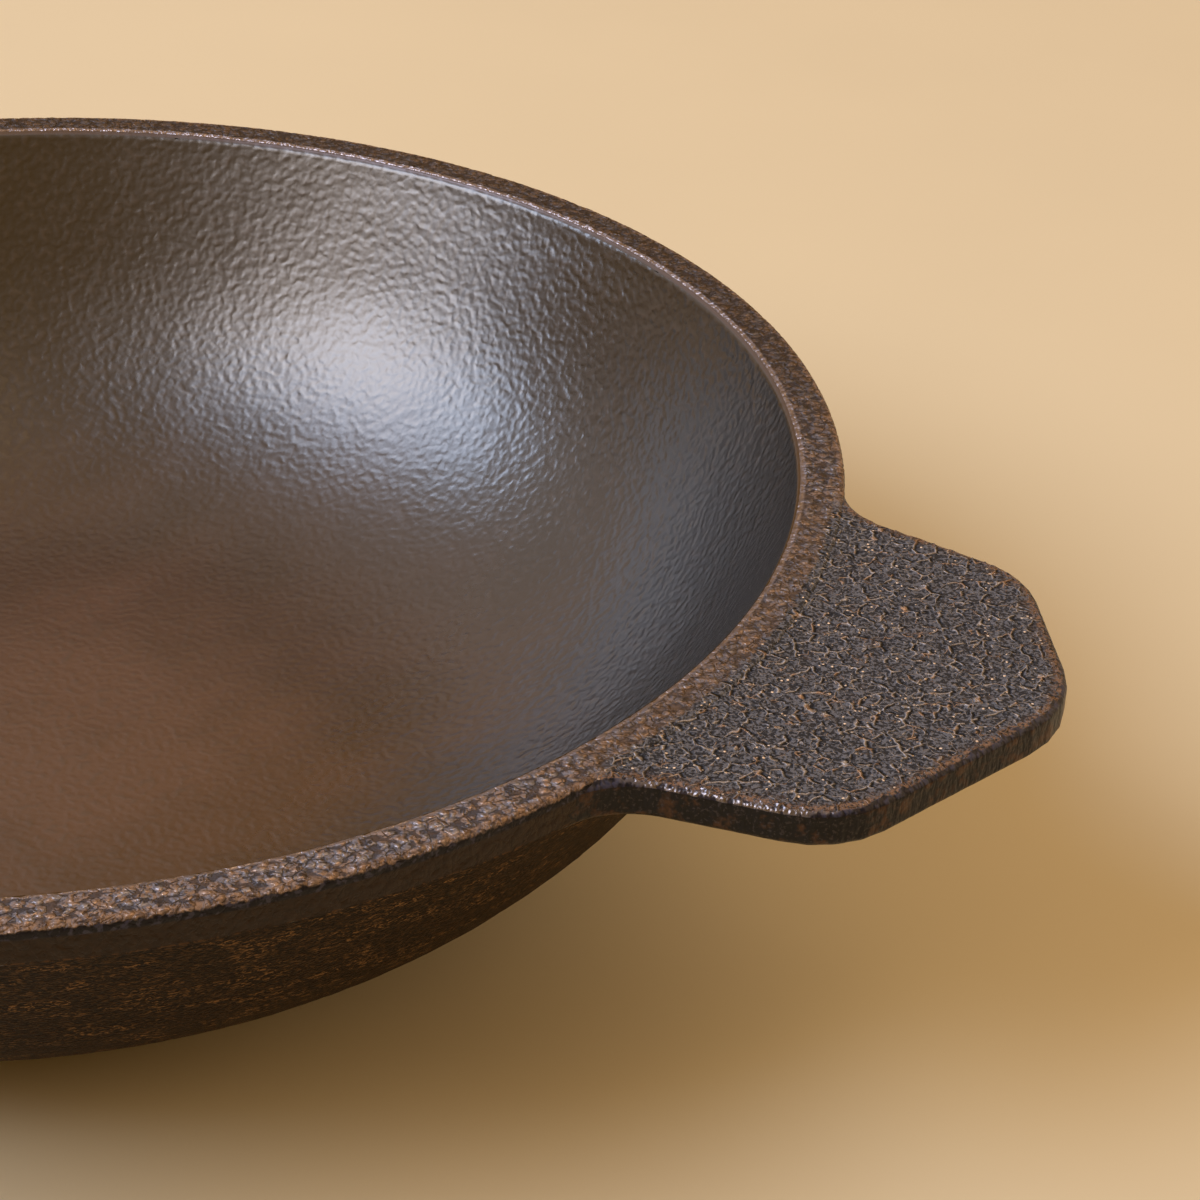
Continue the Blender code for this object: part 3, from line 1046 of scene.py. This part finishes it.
def rim_finish():
    material, shader, place = new_finish("worn_rim", 0.2)
    radius = from_axis(place)
    height_up = place.part("Z")
    beside = by_handle(place)
    grain = place.clouds(0.9 * MM, 2.0, 0.6, 0.4)
    ragged = place.clouds(1.5 * MM, 2.0, 0.6) * 1.4 * MM - 0.7 * MM
    flat_top = (height_up + ragged).over(RIM_TOP - 0.75 * MM, RIM_TOP - 0.45 * MM)
    charred = beside * (1 - brown_ring(place))
    crest = (radius + ragged).over(RIM_RADIUS - 1.6 * MM, RIM_RADIUS - 0.9 * MM) * (1 - beside)
    lip = radius.over(LIP_RADIUS + 0.9 * MM, LIP_RADIUS + 0.3 * MM)
    foot_line = height_up + ragged * 0.3
    foot_line = foot_line.over(BAND_UNDERSIDE + 0.6 * MM, BAND_UNDERSIDE + 0.2 * MM)
    side = band_colour(height_up, grain, place.clouds(1.0 * MM, 2.0, 0.6), foot_line)
    rim_height, worn, rim_bare = rim_skin(place)
    # Darker towards the far (+Y) side of the rim.
    far_side = place.part("Y").over(20 * MM, 90 * MM)
    worn = blended(far_side * 0.65, worn, FAR_SIDE_DARK)
    worn = blended(beside * 0.40, worn, blended(grain.over(0.36, 0.64), RING_DARK, RING_LIGHT))
    worn = blended(crest * 0.7, worn, blended(grain.over(0.36, 0.60), TAN_DARK, TAN_LIGHT))
    worn = blended(lip * 0.85, worn, RUBBED_LIP)
    handle_height, charcoal, handle_bare = charcoal_skin(place)
    colour = blended(flat_top, side, blended(charred, worn, charcoal))
    height = rim_height * (1 - charred) + handle_height * charred
    bare = (rim_bare * (1 - charred) + handle_bare * charred) * flat_top
    roughness = 0.34 + grain * 0.12 - lip * 0.06 + foot_line * 0.4
    height = height * (1 - lip * 0.7) * (flat_top * 0.8 + 0.2)
    lay_on(shader, colour, roughness, height, bare.math("MAXIMUM", lip * 0.9))
    return material


rim_coat = rim_finish()
print("rim finish:", len(rim_coat.node_tree.nodes), "nodes")

# %% [markdown]
# ## The finish of the handles
#
# The charcoal skin gives way to brown near the plate's edge and to a rust line along it. The bevel
# below is dark blue scale, rubbed bright on the sides that a hand holds, and the upright side is
# nearly black with rusty patches. Which of these a place gets depends on its distance from the edge
# and on how far its face has turned from level, so no seam has to be cut in the mesh.

# %% Handle finish
EDGE_DARK, EDGE_BROWN = (0.022, 0.014, 0.010), (0.20, 0.120, 0.074)
EDGE_RUST = (0.27, 0.165, 0.105)
SCALE_BLACK, SCALE_BLUE = (0.006, 0.007, 0.014), (0.034, 0.040, 0.078)
HELD_DARK, HELD_BRIGHT = (0.020, 0.020, 0.030), (0.260, 0.250, 0.275)
SIDE_BLACK, SIDE_RUST = (0.006, 0.005, 0.004), (0.060, 0.028, 0.011)
SIDE_GREY = (0.060, 0.050, 0.050)


def handle_finish():
    material, shader, place = new_finish("charcoal_handle", 0.2)
    from_edge = place.node("ShaderNodeAttribute", {"attribute_name": "from_edge"}, take="Fac")
    facing = place.node("ShaderNodeNewGeometry", take="Normal")
    fine = place.clouds(0.5 * MM, 2.0, 0.6)
    ragged = place.clouds(1.2 * MM, 2.0, 0.6) * 2.4 - 1.2
    flecks = place.stretched(0.8, 2.0).clouds(0.9 * MM, 1.0)
    patches = place.clouds(3.0 * MM, 3.0, 0.6)
    near_edge = (from_edge + place.clouds(2.4 * MM, 2.0) * 6.0).over(6.4, 3.6)
    edge_line = (from_edge + ragged).over(2.0, 1.3) * fine.over(0.42, 0.56)
    bevel = facing.part("Z").over(0.94, 0.84)
    side = facing.part("Z").over(0.40, 0.20)
    held = abs(facing.part("X")).over(0.45, 0.15) * (1 - side) * bevel
    height, colour, bare = charcoal_skin(place)
    brown = blended(fine.over(0.40, 0.60), EDGE_DARK, EDGE_BROWN)
    colour = blended(near_edge * 0.5, colour, brown)
    colour = blended(edge_line * 0.7, colour, EDGE_RUST)
    blue = blended(flecks.over(0.42, 0.62), SCALE_BLACK, SCALE_BLUE)
    blue = blended(held, blue, blended(flecks.over(0.36, 0.50), HELD_DARK, HELD_BRIGHT))
    colour = blended(bevel * 0.95, colour, blue)
    dark_side = blended(patches.over(0.50, 0.66), SIDE_BLACK, SIDE_RUST)
    dark_side = blended(fine.over(0.56, 0.64) * 0.5, dark_side, SIDE_GREY)
    colour = blended(side * 0.95, colour, dark_side)
    roughness = 0.46 - bevel * 0.12 + side * 0.05
    height = height * (1 - bevel) + bevel * (flecks * 0.30 + patches * 0.30)
    lay_on(shader, colour, roughness, height, bare * (1 - bevel) + held * flecks.over(0.34, 0.46))
    return material


handle_coat = handle_finish()
print("handle finish:", len(handle_coat.node_tree.nodes), "nodes")

# %% [markdown]
# ## The ground foot
#
# Grinding leaves bare rings that have since been seasoned over. They are a sine of the distance
# from the axis, which a slow cloud pattern bends a little.

# %% Foot finish
RING_PITCH = 3.1  # radians of the sine to a millimetre, which makes a ring every 2 mm
RING_DARK_BROWN, RING_LIGHT_BROWN = (0.030, 0.020, 0.013), (0.085, 0.062, 0.046)


def foot_finish():
    material, shader, place = new_finish("ground_foot", 0.6)
    bent = from_axis(place) / MM + place.clouds(20 * MM, 2.0) * 0.5
    rings = (bent * RING_PITCH).math("SINE") * 0.5 + 0.5
    wear = place.clouds(6 * MM, 3.0, 0.6)
    colour = blended(rings * wear, RING_DARK_BROWN, RING_LIGHT_BROWN)
    lay_on(shader, colour, 0.38 + wear * 0.25, rings * 0.012 + wear * 0.05)
    return material


foot_skin = foot_finish()
print("foot finish:", len(foot_skin.node_tree.nodes), "nodes")

# %% [markdown]
# ## Putting the finishes on
#
# The bowl carries two finishes, one for the faces that look up into the bowl and one for those
# outside. The other pieces carry one each. Then each piece is put under the pan's root, and the
# imported solid that it stands for is hidden.

# %% Finishes on the pieces
for piece, skins in (
    (bowl, (inside_skin, outside_skin)),
    (rim, (rim_coat,)),
    (foot, (foot_skin,)),
    (handle, (handle_coat,)),
    (left_handle, (handle_coat,)),
):
    for skin in skins:
        piece.data.materials.append(skin)
upward = np.zeros(len(bowl.data.polygons) * 3, np.float32)
bowl.data.polygons.foreach_get("normal", upward)
looks_down = upward.reshape(-1, 3)[:, 2] < 0
bowl.data.polygons.foreach_set("material_index", looks_down.astype(np.int32))

pieces = (
    (bowl, "bowl", "bowl_iron"),
    (rim, "rim", "rim_iron"),
    (foot, "foot", "foot_iron"),
    (handle, "handle_right", "handle_iron"),
    (left_handle, "handle_left", "handle_iron"),
)
for piece, node, slot in pieces:
    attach(piece, "root")
    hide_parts(node)
print("triangles in all:", sum(triangles(piece) for piece, node, slot in pieces))

# They may differ by the depth of the skin.
